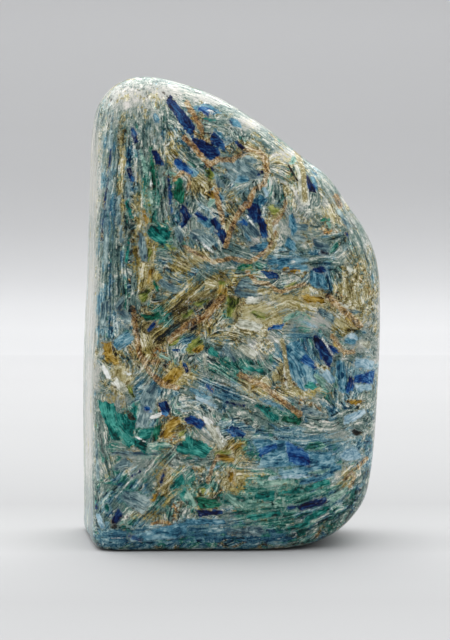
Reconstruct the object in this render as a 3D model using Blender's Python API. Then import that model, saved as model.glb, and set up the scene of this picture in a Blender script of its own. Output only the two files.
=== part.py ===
"""A polished free-form stone of blue kyanite, standing on its flat cut base.

One solid piece: a slab-like stone with an upright left side, a domed top left corner and a long
curved shoulder that falls to the right. The front looks along -Y, +X is to the right and +Z is up.
The origin is on the base, under the middle of the stone's box. Sizes are in millimetres and are
scaled to metres at the end.
"""

import math

import bmesh
import bpy
import numpy as np

MM = 0.001

# Driving sizes of the stone
HEIGHT = 145.0
FRONT_DEPTH = 24.0
BACK_DEPTH = 27.0
TOP_FRONT_TAPER = 3.5
TOP_BACK_TAPER = 8.0
HEART = (0.0, 0.0, 68.0)

# Front outline as (x, z), clockwise from the left end of the base. It runs on below the base,
# which is then cut flat at z = 0.
LEFT_SIDE = [(-44.0, -14.0), (-44.3, 8.0), (-44.5, 28.0), (-44.6, 47.0), (-44.3, 62.0),
             (-43.5, 81.0), (-43.0, 100.0), (-42.7, 119.0)]
DOME = [(-42.1, 128.5), (-40.5, 135.6), (-37.0, 140.4), (-32.7, 143.1), (-28.2, 144.2),
        (-23.5, 144.2), (-18.0, 143.7)]
SHOULDER = [(-11.4, 141.8), (-3.6, 139.0), (4.2, 134.6), (14.4, 127.7), (20.7, 122.5),
            (23.4, 120.4), (25.8, 118.4), (32.5, 113.3), (38.6, 104.7), (45.0, 95.2), (48.3, 84.8)]
RIGHT_SIDE = [(48.9, 71.8), (48.7, 59.3), (48.0, 43.7), (47.2, 31.1), (45.6, 18.6)]
FOOT_CURVE = [(43.3, 12.1), (38.0, 6.0), (32.0, 1.8), (25.0, -2.8), (18.0, -7.0), (0.0, -13.0),
              (-30.0, -14.0)]
STEPS_PER_SPAN = 12

# How square the rounded edge is between the outline and each face, by direction round the outline.
# A low number is a wide soft edge, a high number a tight one. Angles are in degrees from +X.
EDGE_ANGLES = [-90, -45, 0, 40, 75, 105, 125, 150, 180, 225, 270]
FRONT_EDGES = [9.0, 4.2, 4.4, 4.8, 4.8, 3.4, 3.6, 8.0, 11.0, 12.0, 9.0]
BACK_EDGES = [8.0, 4.0, 3.6, 3.8, 3.8, 3.2, 3.2, 4.5, 5.5, 6.0, 8.0]

# The left side leans out towards the back, so that the front view sees a narrow strip of it
LEAN_OF_LEFT_SIDE = 0.17
LEAN_STARTS_AT_X = -12.0
LEAN_FULL_AT_X = -38.0
LEAN_PIVOT_Y = 12.0

BASE_EDGE_BLEND = 3.6
PILLOW_SCALE = 40.0

# Slow unevenness that hand polishing left on the front and back faces
WAVE_HEIGHT = 0.25
WAVE_LENGTHS = (61.0, 47.0)
WAVES_START_AT_SHARE = 0.6
WAVES_FULL_AT_SHARE = 0.95

# The grid that becomes the surface: half its box, its cells along X, Y and Z, and how much they
# crowd towards the edges, from 0 to 1
HALF_BOX = (46.0, 26.0, 72.0)
CELLS = (27, 16, 42)
CROWDING = 0.45
FARTHEST_SHARE = 2.0
SEARCH_STEPS = 40
FLAT_BELOW = 0.02


def smooth_step(low, high, value):
    share = np.clip((value - low) / (high - low), 0.0, 1.0)
    return share * share * (3.0 - 2.0 * share)


def catmull_rom(points):
    """A closed smooth curve through the points, as many short steps."""
    knots = np.array(points)
    before = np.roll(knots, 1, axis=0)
    after = np.roll(knots, -1, axis=0)
    beyond = np.roll(knots, -2, axis=0)
    steps = []
    for share in np.arange(STEPS_PER_SPAN) / STEPS_PER_SPAN:
        steps.append(
            0.5 * (2 * knots + (after - before) * share
                   + (2 * before - 5 * knots + 4 * after - beyond) * share ** 2
                   + (3 * knots - before - 3 * after + beyond) * share ** 3)
        )
    return np.stack(steps, axis=1).reshape(-1, 2)


def outline_radius():
    """(angles, radii) of the front outline about the heart, sorted and wrapped for np.interp."""
    curve = catmull_rom(LEFT_SIDE + DOME + SHOULDER + RIGHT_SIDE + FOOT_CURVE)
    across = curve[:, 0] - HEART[0]
    up = curve[:, 1] - HEART[2]
    angles = np.arctan2(up, across)
    order = np.argsort(angles)
    return angles[order], np.hypot(across, up)[order]


def edge_power(angles, powers):
    """The edge's squareness at each angle, with soft changes between the listed directions."""
    degrees = np.degrees(angles)
    wrapped = np.where(degrees < EDGE_ANGLES[0], degrees + 360.0, degrees)
    position = np.interp(wrapped, EDGE_ANGLES, np.arange(len(EDGE_ANGLES)))
    step = np.minimum(position.astype(int), len(EDGE_ANGLES) - 2)
    share = smooth_step(0.0, 1.0, position - step)
    values = np.array(powers)
    return values[step] + (values[step + 1] - values[step]) * share


def soft_max(a, b, blend):
    """The larger of two distances, with their meeting edge rounded over the blend width."""
    overlap = np.maximum(blend - np.abs(a - b), 0.0)
    return np.maximum(a, b) + overlap ** 2 / (4.0 * blend)


def waves(x, y, z):
    """How far the slow unevenness lifts a face, which differs from front to back."""
    long, short = 2.0 * math.pi / np.array(WAVE_LENGTHS)
    crossing = np.sin(long * x + 0.7) * np.cos(short * z + np.sign(y))
    slanting = np.sin(short * (z + 0.6 * x) + 1.9 * np.sign(y))
    return WAVE_HEIGHT * (crossing + 0.6 * slanting)


def distance_outside(points, outline):
    """Roughly how far each point is outside the stone, in millimetres. It is negative inside."""
    x, y, z = points.T
    lean = LEAN_OF_LEFT_SIDE * smooth_step(LEAN_STARTS_AT_X, LEAN_FULL_AT_X, x)
    across = x + lean * (y - LEAN_PIVOT_Y) - HEART[0]
    up = z - HEART[2]
    angle = np.arctan2(up, across)
    share_out = np.hypot(across, up) / np.interp(angle, *outline, period=2 * math.pi)

    height_share = np.clip(z / HEIGHT, 0.0, 1.0)
    front = FRONT_DEPTH - TOP_FRONT_TAPER * height_share ** 2
    back = BACK_DEPTH - TOP_BACK_TAPER * height_share ** 1.5
    share_deep = np.where(y < 0.0, -y / front, y / back)
    power = np.where(y < 0.0, edge_power(angle, FRONT_EDGES), edge_power(angle, BACK_EDGES))

    pillow = PILLOW_SCALE * ((share_out ** power + share_deep ** power) ** (1.0 / power) - 1.0)
    on_a_face = smooth_step(WAVES_START_AT_SHARE, WAVES_FULL_AT_SHARE, share_deep)
    return soft_max(pillow - waves(x, y, z) * on_a_face, -z, BASE_EDGE_BLEND)


def gridded_box():
    """A box whose faces are grids of quads, from -1 to 1 each way, crowded towards its edges."""
    grid = bmesh.new()
    bmesh.ops.create_cube(grid, size=2.0)
    for axis, cells in enumerate(CELLS):
        along = [
            edge for edge in grid.edges
            if abs((edge.verts[0].co - edge.verts[1].co)[axis]) > 1.0
        ]
        bmesh.ops.subdivide_edges(grid, edges=along, cuts=cells - 1, use_grid_fill=True)
    corners = np.array([vertex.co for vertex in grid.verts])
    crowded = (1.0 - CROWDING) * corners + CROWDING * np.sin(corners * math.pi / 2.0)
    return grid, crowded


def surface_points(directions, outline):
    """Where a ray from the heart along each direction leaves the stone, found by halving."""
    heart = np.array(HEART)
    near = np.zeros(len(directions))
    far = np.full(len(directions), FARTHEST_SHARE)
    for _ in range(SEARCH_STEPS):
        middle = (near + far) / 2.0
        outside = distance_outside(heart + directions * middle[:, None], outline) > 0.0
        far = np.where(outside, middle, far)
        near = np.where(outside, near, middle)
    return heart + directions * near[:, None]


def stand_on_base(points):
    """Puts the middle of the stone's box on the origin and its cut base exactly at z = 0."""
    low = points.min(axis=0)
    high = points.max(axis=0)
    placed = points - np.array([(low[0] + high[0]) / 2.0, (low[1] + high[1]) / 2.0, low[2]])
    placed[placed[:, 2] < FLAT_BELOW, 2] = 0.0
    return placed


def polished_kyanite():
    """Blue-grey kyanite with a wet-looking polish."""
    material = bpy.data.materials.new("kyanite")
    material.use_nodes = True
    shader = material.node_tree.nodes["Principled BSDF"]
    shader.inputs["Base Color"].default_value = (0.20, 0.27, 0.31, 1.0)
    shader.inputs["Roughness"].default_value = 0.22
    shader.inputs["Metallic"].default_value = 0.0
    return material


def kyanite_stone():
    """The stone: every corner of a gridded box is moved out from the heart to the surface."""
    grid, corners = gridded_box()
    points = stand_on_base(surface_points(corners * np.array(HALF_BOX), outline_radius()))
    for vertex, place in zip(grid.verts, points):
        vertex.co = place * MM
    bmesh.ops.recalc_face_normals(grid, faces=grid.faces)
    mesh = bpy.data.meshes.new("kyanite_stone")
    grid.to_mesh(mesh)
    grid.free()
    mesh.shade_smooth()
    mesh.materials.append(polished_kyanite())
    return bpy.data.objects.new("kyanite_stone", mesh)


def main():
    for leftover in list(bpy.data.objects):
        bpy.data.objects.remove(leftover)
    collection = bpy.data.collections.new("polished_kyanite_freeform")
    bpy.context.scene.collection.children.link(collection)
    collection.objects.link(kyanite_stone())


main()
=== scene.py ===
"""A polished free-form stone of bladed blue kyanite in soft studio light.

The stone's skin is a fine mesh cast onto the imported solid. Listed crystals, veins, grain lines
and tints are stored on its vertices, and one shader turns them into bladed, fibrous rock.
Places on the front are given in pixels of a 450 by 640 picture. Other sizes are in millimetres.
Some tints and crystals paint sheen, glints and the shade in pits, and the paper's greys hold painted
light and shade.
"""

import math

import bmesh
import bpy
import numpy as np
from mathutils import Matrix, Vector
from mathutils.bvhtree import BVHTree


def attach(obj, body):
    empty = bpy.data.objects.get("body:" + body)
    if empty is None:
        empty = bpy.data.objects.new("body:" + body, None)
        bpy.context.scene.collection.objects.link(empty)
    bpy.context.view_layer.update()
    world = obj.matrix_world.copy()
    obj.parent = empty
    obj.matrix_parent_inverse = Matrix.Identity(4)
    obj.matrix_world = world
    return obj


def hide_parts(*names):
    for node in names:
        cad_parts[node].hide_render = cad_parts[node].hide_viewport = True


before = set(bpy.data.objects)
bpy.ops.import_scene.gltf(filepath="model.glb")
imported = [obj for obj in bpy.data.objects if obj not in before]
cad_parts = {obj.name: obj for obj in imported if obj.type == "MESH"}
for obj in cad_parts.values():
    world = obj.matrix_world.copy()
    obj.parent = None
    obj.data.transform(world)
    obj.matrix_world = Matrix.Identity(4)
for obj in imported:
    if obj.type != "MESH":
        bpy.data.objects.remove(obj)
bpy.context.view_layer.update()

MM = 0.001

# Camera: distances are measured from the stone's middle plane
PICTURE = (450, 640)
MM_PER_PIXEL = 0.3135
CAMERA_DISTANCE = 520.0
CAMERA_RISE = 22.0
TARGET = np.array([-1.03, 0.0, 68.7])
SENSOR = 36.0
CLIP_START = 0.01
CLIP_END = 20.0

# The skin: half its casting box, its cells along X, Y and Z, and the point that it is cast towards
HALF_BOX = np.array([46.0, 26.0, 72.0])
SKIN_CELLS = (148, 42, 228)
HEART = np.array([0.0, 0.0, 68.0])
SMOOTH_LEVELS = 2

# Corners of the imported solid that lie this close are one, in metres. Then the most that two
# triangles bend and that their quad is skewed when they join, in radians.
SAME_POINT = 1e-6
JOIN_BEND = 0.7
JOIN_SKEW = 1.4

# How far from a crystal's rim its stored depth still counts, in millimetres
RIM_REACH = 2.5

# Long grain lines, as pixels along each line and how far to its sides it rules
GRAIN_LINES = [
    ([(112, 96), (108, 180), (105, 260), (102, 340)], 9),
    ([(126, 84), (122, 180), (119, 260), (121, 330)], 9),
    ([(142, 82), (143, 160), (147, 215), (140, 300)], 11),
    ([(160, 86), (160, 150), (163, 215)], 9),
    ([(92, 100), (89, 250), (86, 400), (87, 540)], 8),
    ([(176, 84), (215, 97), (258, 124), (300, 158)], 11),
    ([(306, 160), (330, 195), (352, 235), (368, 280)], 8),
    ([(262, 316), (288, 306), (318, 316), (345, 334), (372, 344)], 13),
    ([(290, 330), (318, 330), (340, 350), (372, 362)], 9),
    ([(186, 380), (215, 392), (250, 405), (285, 424), (330, 428), (372, 416)], 14),
    ([(205, 360), (235, 378), (268, 400), (300, 420)], 9),
    ([(262, 440), (305, 444), (345, 436), (374, 424)], 12),
    ([(250, 474), (300, 476), (340, 462), (372, 438)], 16),
    ([(230, 500), (285, 496), (335, 482), (366, 458)], 12),
    ([(232, 522), (290, 512), (338, 496), (366, 474)], 12),
    ([(100, 532), (160, 534), (230, 530), (300, 526), (345, 508)], 11),
    ([(112, 448), (136, 452), (165, 450)], 9),
    ([(100, 420), (104, 450), (110, 470)], 9),
    ([(104, 528), (128, 500), (150, 474), (164, 458)], 16),
    ([(136, 524), (160, 500), (184, 476)], 12),
    ([(160, 336), (184, 316), (214, 296)], 10),
    ([(150, 325), (172, 306), (196, 284)], 10),
    ([(230, 250), (262, 262), (300, 264), (330, 262)], 9),
    ([(280, 214), (290, 232), (320, 236), (345, 230)], 10),
]

# How many of its end spans a long line runs on past each end, and how far apart in the rock two
# lines' fibres are read, in millimetres
RUN_ON = 9.0
LINE_GAP = 40.0

# Grain direction away from the long lines, as (x, y, degrees from the right, reach in pixels)
GRAIN_TURNS = [
    (180, 115, 125, 26), (205, 110, 150, 20), (200, 150, 145, 22), (235, 130, 140, 24),
    (235, 175, 35, 22), (258, 205, 122, 22), (190, 200, 100, 18), (200, 230, 135, 26),
    (275, 200, 120, 20), (300, 190, 100, 18), (300, 230, 80, 16), (300, 262, 2, 22), (250, 285, 150, 22),
    (330, 250, 95, 20), (345, 290, 60, 26), (200, 310, 40, 30), (230, 345, 130, 24), (300, 365, 125, 30),
    (345, 375, 90, 16), (366, 372, 0, 12), (145, 405, 75, 20), (120, 425, 110, 18), (195, 425, 150, 20),
    (195, 450, 20, 20), (175, 485, 50, 24), (215, 500, 20, 24), (130, 495, 52, 26), (115, 345, 100, 16),
    (150, 360, 80, 24), (245, 240, 125, 18), (186, 268, 148, 18), (214, 270, 152, 18),
]

# How strongly the grain points right where nothing turns it
IDLE_PULL = 0.02

# Tints, as (x, y, reach across, reach up) in pixels and a strength from 0 to 1
WARM_AREAS = [
    (196, 312, 34, 22, 0.8), (150, 340, 16, 34, 0.8), (176, 376, 16, 14, 0.8), (255, 318, 26, 18, 0.85),
    (352, 300, 24, 34, 0.6), (346, 325, 18, 16, 0.6), (292, 180, 10, 28, 0.4), (270, 230, 9, 14, 0.9),
    (205, 185, 16, 10, 0.7), (240, 290, 22, 22, 0.6), (312, 297, 16, 14, 0.9), (282, 378, 9, 24, 0.8),
    (300, 392, 30, 8, 0.6), (255, 386, 20, 9, 0.7), (172, 432, 12, 12, 0.9), (232, 452, 14, 14, 0.8),
    (236, 478, 18, 16, 0.7), (165, 478, 8, 26, 0.6), (122, 155, 4, 40, 0.5), (140, 235, 10, 60, 0.45),
    (184, 262, 18, 12, 0.6), (250, 150, 20, 12, 0.6), (120, 380, 14, 16, 0.8), (236, 330, 20, 16, 0.5),
    (205, 505, 18, 18, 0.3), (335, 212, 10, 16, 0.4), (150, 515, 20, 7, 0.4), (350, 475, 10, 12, 0.5),
    (232, 210, 10, 26, 0.5), (275, 152, 16, 22, 0.2), (138, 98, 28, 14, 0.2), (222, 296, 44, 26, 0.55),
    (146, 250, 9, 44, 0.55), (122, 200, 5, 60, 0.4), (170, 150, 14, 22, 0.4), (148, 284, 12, 20, 0.7),
    (190, 256, 24, 10, 0.6), (262, 346, 16, 12, 0.3), (320, 220, 30, 30, 0.15), (215, 285, 20, 16, 0.6),
    (300, 300, 30, 8, 0.5), (145, 275, 10, 18, 0.6), (112, 355, 10, 14, 0.7),
]
GREEN_AREAS = [
    (150, 470, 80, 60, 0.35), (260, 490, 90, 50, 0.55), (300, 320, 50, 16, 0.4), (232, 300, 16, 14, 0.8),
    (150, 195, 8, 40, 0.7), (165, 235, 16, 16, 0.6), (205, 165, 16, 12, 0.4), (240, 500, 26, 18, 0.8),
    (195, 490, 24, 24, 0.7), (290, 495, 34, 20, 0.7), (280, 412, 20, 16, 0.6), (130, 430, 26, 24, 0.6),
    (160, 312, 16, 12, 0.5), (255, 270, 14, 12, 0.5), (290, 170, 12, 30, 0.4), (120, 470, 14, 12, 0.5),
    (216, 300, 14, 10, 0.6), (240, 370, 30, 20, 0.4), (320, 388, 22, 8, 0.4), (330, 525, 24, 12, 0.4),
]
# Pale stone, and painted sheen: the strips along the left edge and the right rim and the patches along the
# dome and shoulder paint the reflection of the bright surroundings.
PALE_AND_SHEEN_AREAS = [
    (93, 170, 10, 70, 0.9), (91, 290, 10, 80, 0.9), (89, 420, 8, 80, 0.8), (87, 500, 6, 30, 0.2),
    (368, 240, 9, 30, 0.5), (378, 300, 7, 40, 0.6), (379, 360, 6, 40, 0.6), (376, 440, 6, 50, 0.5),
    (345, 196, 8, 20, 0.6), (366, 500, 6, 30, 0.3), (128, 97, 30, 16, 0.85), (162, 92, 28, 12, 0.8),
    (206, 99, 24, 8, 0.7), (142, 112, 26, 14, 0.4), (248, 124, 26, 9, 0.75), (287, 155, 20, 10, 0.7),
    (262, 300, 24, 10, 0.5), (262, 346, 22, 14, 0.75), (300, 200, 12, 20, 0.5), (255, 314, 22, 10, 0.9),
    (315, 322, 26, 12, 0.7), (208, 422, 8, 6, 0.8), (338, 312, 10, 8, 0.6), (366, 366, 14, 9, 0.5),
    (245, 160, 24, 16, 0.3), (300, 236, 20, 16, 0.3), (340, 470, 22, 12, 0.35), (362, 345, 16, 10, 0.6),
    (364, 365, 14, 10, 0.7), (322, 372, 18, 16, 0.45), (355, 290, 18, 34, 0.4), (120, 376, 18, 12, 0.6),
    (330, 205, 20, 22, 0.4), (350, 455, 16, 12, 0.35), (205, 440, 12, 14, 0.5), (178, 175, 22, 14, 0.3),
    (205, 225, 18, 14, 0.3), (124, 458, 24, 8, 0.3), (215, 262, 34, 12, 0.3), (100, 450, 8, 50, 0.4),
    (235, 385, 40, 20, 0.25), (306, 152, 14, 14, 0.3), (330, 180, 10, 20, 0.4), (296, 222, 22, 20, 0.5),
    (314, 299, 14, 12, 0.6), (148, 366, 8, 10, 0.4), (330, 300, 40, 50, 0.1), (92, 375, 12, 34, 0.75),
    (116, 400, 18, 12, 0.55), (138, 462, 34, 14, 0.4), (112, 118, 12, 12, 0.5), (155, 138, 12, 12, 0.3),
    (254, 240, 14, 12, 0.6), (352, 218, 12, 16, 0.5), (284, 180, 22, 14, 0.4), (292, 325, 14, 18, 0.45),
    (275, 357, 14, 12, 0.35), (304, 397, 24, 9, 0.4), (368, 322, 10, 26, 0.5), (340, 434, 26, 8, 0.45),
    (240, 474, 18, 12, 0.3), (232, 518, 12, 8, 0.4),
]
# Calm, even rock, and painted sheen: the long area along the left edge flattens the rock there as the
# reflection of the bright surroundings does.
CALM_AND_SHEEN_AREAS = [
    (200, 537, 130, 9, 0.9), (310, 455, 56, 22, 0.6), (246, 290, 14, 14, 0.6), (302, 368, 20, 26, 0.5),
    (110, 200, 12, 90, 0.4), (262, 312, 26, 9, 0.6), (365, 376, 14, 20, 0.6), (145, 405, 14, 22, 0.5),
    (120, 430, 18, 20, 0.4), (240, 170, 16, 18, 0.5), (155, 236, 10, 18, 0.5), (314, 322, 28, 14, 0.4),
    (135, 454, 26, 8, 0.5), (90, 300, 10, 200, 0.5), (132, 490, 34, 26, 0.5), (290, 262, 26, 8, 0.4),
    (200, 236, 14, 12, 0.4), (310, 236, 24, 18, 0.3), (205, 262, 30, 14, 0.5), (206, 280, 26, 16, 0.3),
    (360, 215, 10, 40, 0.5), (228, 270, 20, 12, 0.4), (160, 320, 20, 20, 0.3), (200, 285, 40, 28, 0.6),
    (290, 300, 40, 12, 0.4), (122, 160, 20, 50, 0.2),
]
GRITTY_AREAS = [
    (358, 278, 14, 26, 0.8), (344, 306, 14, 12, 0.9), (220, 474, 14, 14, 0.7), (265, 347, 16, 14, 0.7),
    (325, 230, 14, 12, 0.6), (202, 311, 25, 17, 0.8), (192, 328, 12, 8, 0.8), (312, 297, 16, 10, 0.7),
    (245, 462, 14, 10, 0.6), (136, 330, 7, 26, 0.7), (150, 366, 14, 10, 0.7), (286, 378, 6, 20, 0.6),
    (300, 408, 20, 5, 0.5), (205, 246, 12, 6, 0.5), (272, 238, 5, 12, 0.7), (352, 258, 12, 16, 0.6),
    (196, 118, 5, 14, 0.6), (243, 212, 4, 16, 0.6), (120, 392, 7, 18, 0.5), (356, 470, 8, 12, 0.5),
    (215, 450, 8, 8, 0.5),
]
BLUE_AREAS = [
    (107, 240, 7, 70, 0.3), (134, 150, 10, 36, 0.4), (190, 125, 24, 22, 0.35), (245, 175, 22, 22, 0.4),
    (200, 225, 26, 24, 0.4), (256, 222, 20, 22, 0.5), (295, 258, 30, 14, 0.7), (318, 276, 16, 18, 0.6),
    (112, 320, 18, 24, 0.5), (300, 362, 26, 32, 0.8), (360, 375, 22, 22, 0.9), (215, 395, 40, 16, 0.6),
    (145, 405, 16, 24, 0.6), (310, 452, 60, 24, 0.9), (130, 498, 36, 26, 0.6), (200, 535, 120, 14, 0.9),
    (320, 505, 40, 18, 0.6), (235, 428, 16, 12, 0.6), (240, 350, 22, 22, 0.3),
]
# Darker rock, and painted shade: the band along the bottom darkens where the stone turns under, away from
# the light.
DEEP_AND_SHADE_AREAS = [
    (120, 250, 20, 70, 0.45), (105, 230, 6, 80, 0.5), (195, 150, 26, 12, 0.4), (250, 215, 18, 18, 0.5),
    (200, 300, 26, 18, 0.5), (290, 455, 40, 16, 0.4), (130, 504, 26, 20, 0.6), (210, 540, 110, 9, 0.7),
    (300, 520, 40, 12, 0.5), (215, 355, 16, 24, 0.3), (240, 430, 26, 12, 0.3), (245, 272, 12, 12, 0.4),
    (145, 315, 24, 16, 0.4), (180, 345, 20, 16, 0.3), (310, 262, 30, 8, 0.4), (185, 180, 14, 26, 0.3),
    (295, 365, 18, 22, 0.3), (196, 308, 26, 16, 1.0), (150, 330, 16, 14, 0.4), (192, 292, 18, 8, 0.5),
    (214, 326, 10, 16, 0.5), (160, 300, 14, 10, 0.4), (200, 285, 40, 28, 0.4), (122, 170, 24, 60, 0.35),
    (334, 282, 15, 15, 0.8), (350, 292, 16, 12, 0.3), (160, 175, 30, 20, 0.55), (195, 212, 20, 12, 0.35),
    (132, 198, 14, 12, 0.55), (174, 120, 10, 12, 0.4), (130, 536, 46, 8, 0.5), (94, 512, 10, 26, 0.4),
    (352, 512, 12, 12, 0.5), (290, 492, 36, 12, 0.3), (212, 506, 16, 16, 0.4), (195, 458, 12, 8, 0.4),
    (272, 456, 14, 10, 0.35),
]
TINTS = {
    "warm": WARM_AREAS, "green": GREEN_AREAS, "pale_and_sheen": PALE_AND_SHEEN_AREAS, "deep": DEEP_AND_SHADE_AREAS,
    "blue": BLUE_AREAS, "gritty": GRITTY_AREAS, "calm_and_sheen": CALM_AND_SHEEN_AREAS,
}

# Crystals by colour, as (x, y) of each end and the width, all in pixels
NAVY_CRYSTALS = [
    (168, 95, 192, 133, 11), (192, 141, 219, 157, 13), (154, 150, 160, 165, 7), (181, 206, 189, 221, 10),
    (213, 218, 220, 231, 7), (219, 230, 227, 245, 9), (251, 203, 259, 223, 12), (260, 217, 266, 238, 8),
    (265, 275, 279, 275, 8), (313, 337, 332, 362, 10), (176, 410, 181, 411, 4), (286, 508, 298, 507, 5),
    (298, 508, 328, 500, 8), (112, 524, 121, 512, 8), (127, 535, 142, 540, 5), (197, 513, 222, 512, 6),
    (231, 427, 245, 436, 7), (94, 506, 99, 508, 6), (225, 402, 245, 406, 4), (183, 362, 188, 373, 4),
    (175, 349, 180, 352, 4), (257, 177, 264, 171, 5), (236, 141, 244, 150, 5), (307, 174, 312, 193, 6),
    (131, 126, 137, 143, 5), (128, 168, 133, 182, 5), (187, 222, 180, 226, 5), (316, 267, 324, 273, 9),
    (345, 232, 348, 236, 4), (130, 478, 142, 470, 4), (160, 484, 166, 469, 4), (147, 331, 156, 323, 5),
    (320, 252, 329, 254, 4), (205, 164, 214, 171, 4), (168, 172, 172, 212, 4), (107, 150, 104, 240, 3),
    (161, 402, 168, 412, 10), (211, 136, 225, 147, 10),
]
ROYAL_CRYSTALS = [
    (352, 378, 379, 378, 12), (350, 376, 350, 391, 7), (186, 417, 204, 427, 10), (144, 409, 151, 409, 7),
    (162, 410, 168, 414, 7), (287, 451, 309, 459, 17), (259, 453, 277, 445, 8), (302, 357, 316, 369, 8),
    (327, 345, 338, 354, 8), (206, 385, 213, 391, 4), (229, 433, 243, 432, 7), (269, 328, 283, 326, 4),
    (195, 213, 207, 220, 6), (307, 186, 316, 188, 7), (175, 160, 192, 174, 8), (262, 222, 263, 236, 6),
    (199, 107, 211, 114, 8), (240, 220, 246, 226, 6), (134, 130, 136, 138, 5), (318, 346, 324, 356, 8),
]
STEEL_CRYSTALS = [
    (288, 346, 312, 386, 26), (290, 346, 300, 354, 9), (340, 360, 344, 392, 12), (115, 347, 131, 334, 12),
    (212, 190, 222, 202, 9), (175, 160, 196, 176, 9), (155, 112, 157, 125, 6), (268, 262, 308, 260, 6),
    (270, 268, 308, 268, 6), (310, 276, 328, 288, 12), (343, 340, 357, 341, 9), (190, 389, 210, 399, 7),
    (255, 446, 292, 446, 14), (300, 470, 336, 462, 14), (198, 216, 212, 226, 9), (313, 176, 317, 192, 5),
    (291, 214, 294, 233, 7), (229, 118, 241, 127, 9), (250, 250, 268, 246, 9), (300, 482, 334, 474, 8),
    (185, 522, 226, 522, 7), (286, 240, 296, 250, 9), (214, 128, 224, 142, 6), (255, 208, 264, 196, 11),
    (198, 104, 216, 115, 13), (262, 460, 330, 457, 15), (280, 475, 342, 468, 9), (236, 178, 249, 180, 8),
    (318, 270, 322, 286, 12), (260, 398, 290, 412, 4), (130, 538, 180, 536, 6), (140, 537, 186, 528, 12),
]
SLATE_CRYSTALS = [
    (152, 386, 141, 427, 15), (105, 302, 103, 328, 9), (120, 310, 128, 322, 9), (229, 180, 249, 170, 14),
    (236, 287, 258, 290, 20), (190, 232, 214, 244, 12), (122, 494, 148, 506, 16),
    (114, 470, 130, 462, 10), (127, 180, 129, 212, 5), (336, 208, 350, 228, 9), (348, 312, 361, 313, 6),
    (176, 228, 183, 241, 9), (243, 158, 257, 162, 9), (104, 172, 108, 262, 6), (112, 112, 110, 150, 5),
    (222, 146, 232, 136, 8), (262, 236, 268, 246, 7), (313, 243, 330, 248, 9), (228, 532, 264, 530, 9),
    (140, 232, 146, 262, 8), (160, 280, 176, 292, 8), (117, 310, 124, 296, 6), (292, 236, 306, 240, 6),
    (96, 440, 98, 480, 6), (224, 346, 236, 362, 7), (262, 462, 276, 468, 8), (318, 310, 334, 320, 8),
    (214, 172, 222, 188, 6), (120, 214, 122, 244, 5), (228, 158, 250, 180, 22), (238, 219, 258, 236, 12),
    (112, 453, 158, 454, 5), (288, 226, 308, 228, 7), (300, 408, 330, 416, 6), (118, 196, 119, 226, 5),
]
SKY_CRYSTALS = [
    (352, 362, 378, 366, 10), (354, 387, 376, 387, 8), (342, 458, 360, 452, 14), (343, 420, 368, 412, 8),
    (324, 372, 334, 384, 8), (270, 478, 310, 476, 4), (96, 514, 104, 528, 6), (345, 200, 352, 212, 4),
    (262, 186, 268, 196, 6), (206, 470, 220, 466, 5), (196, 398, 216, 406, 4), (90, 150, 88, 300, 4),
    (348, 334, 360, 340, 6), (299, 320, 318, 328, 4),
]
TEAL_CRYSTALS = [
    (105, 402, 116, 440, 14), (119, 414, 132, 446, 18), (136, 404, 130, 430, 9), (128, 438, 148, 449, 10),
    (203, 120, 218, 121, 5), (148, 228, 168, 240, 16), (240, 367, 266, 372, 7), (256, 404, 279, 419, 6),
    (94, 497, 98, 508, 5), (105, 504, 109, 511, 5), (209, 348, 219, 357, 6), (182, 491, 190, 503, 9),
    (266, 408, 272, 408, 4), (306, 384, 317, 388, 7), (300, 490, 330, 482, 6), (126, 200, 133, 224, 5),
    (304, 520, 330, 508, 7), (225, 498, 246, 500, 9), (262, 410, 276, 422, 5), (130, 232, 126, 262, 4),
    (284, 530, 310, 524, 6), (181, 443, 209, 453, 18), (190, 434, 193, 446, 7), (139, 436, 160, 432, 12),
    (255, 496, 275, 497, 11), (282, 493, 306, 489, 7), (246, 518, 281, 513, 7), (256, 483, 267, 484, 6),
    (170, 489, 184, 478, 9),
]
EMERALD_CRYSTALS = [
    (180, 178, 179, 204, 11), (170, 171, 172, 210, 4), (151, 146, 154, 190, 5), (158, 426, 154, 442, 7),
    (196, 504, 219, 502, 12), (283, 403, 298, 413, 6), (282, 418, 301, 423, 7), (237, 268, 254, 266, 8),
    (320, 220, 331, 220, 4), (228, 306, 234, 300, 10), (143, 318, 161, 316, 7), (296, 166, 290, 178, 4),
    (268, 130, 280, 142, 4), (275, 504, 282, 500, 5), (152, 318, 160, 312, 5), (292, 412, 302, 420, 4),
    (153, 281, 159, 291, 5),
]
MINT_CRYSTALS = [
    (160, 355, 171, 360, 6), (140, 150, 146, 172, 5), (165, 172, 176, 176, 6), (326, 224, 334, 226, 6),
    (226, 494, 244, 508, 8), (186, 494, 196, 506, 7), (250, 484, 292, 482, 5), (334, 378, 338, 388, 5),
    (314, 374, 326, 384, 8), (330, 500, 350, 488, 6), (245, 506, 284, 504, 4), (298, 154, 290, 166, 6),
    (148, 188, 152, 204, 4), (216, 196, 208, 206, 6), (284, 320, 300, 312, 5), (300, 476, 330, 470, 3),
    (205, 176, 214, 172, 5),
]
OLIVE_CRYSTALS = [
    (229, 318, 234, 296, 11), (219, 296, 224, 280, 7), (140, 300, 150, 288, 10), (188, 352, 202, 340, 10),
    (168, 343, 181, 336, 9), (236, 450, 246, 442, 7), (150, 248, 148, 262, 5), (206, 172, 214, 178, 9),
    (214, 456, 232, 452, 8), (200, 492, 206, 488, 6), (268, 206, 280, 216, 9), (196, 306, 210, 298, 6),
    (182, 318, 194, 310, 5), (240, 272, 252, 266, 4), (286, 288, 300, 280, 6), (166, 244, 176, 250, 5),
    (128, 386, 134, 398, 5), (178, 436, 186, 430, 6), (148, 200, 151, 214, 4), (226, 224, 230, 236, 4),
    (252, 312, 268, 318, 8),
]
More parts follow.
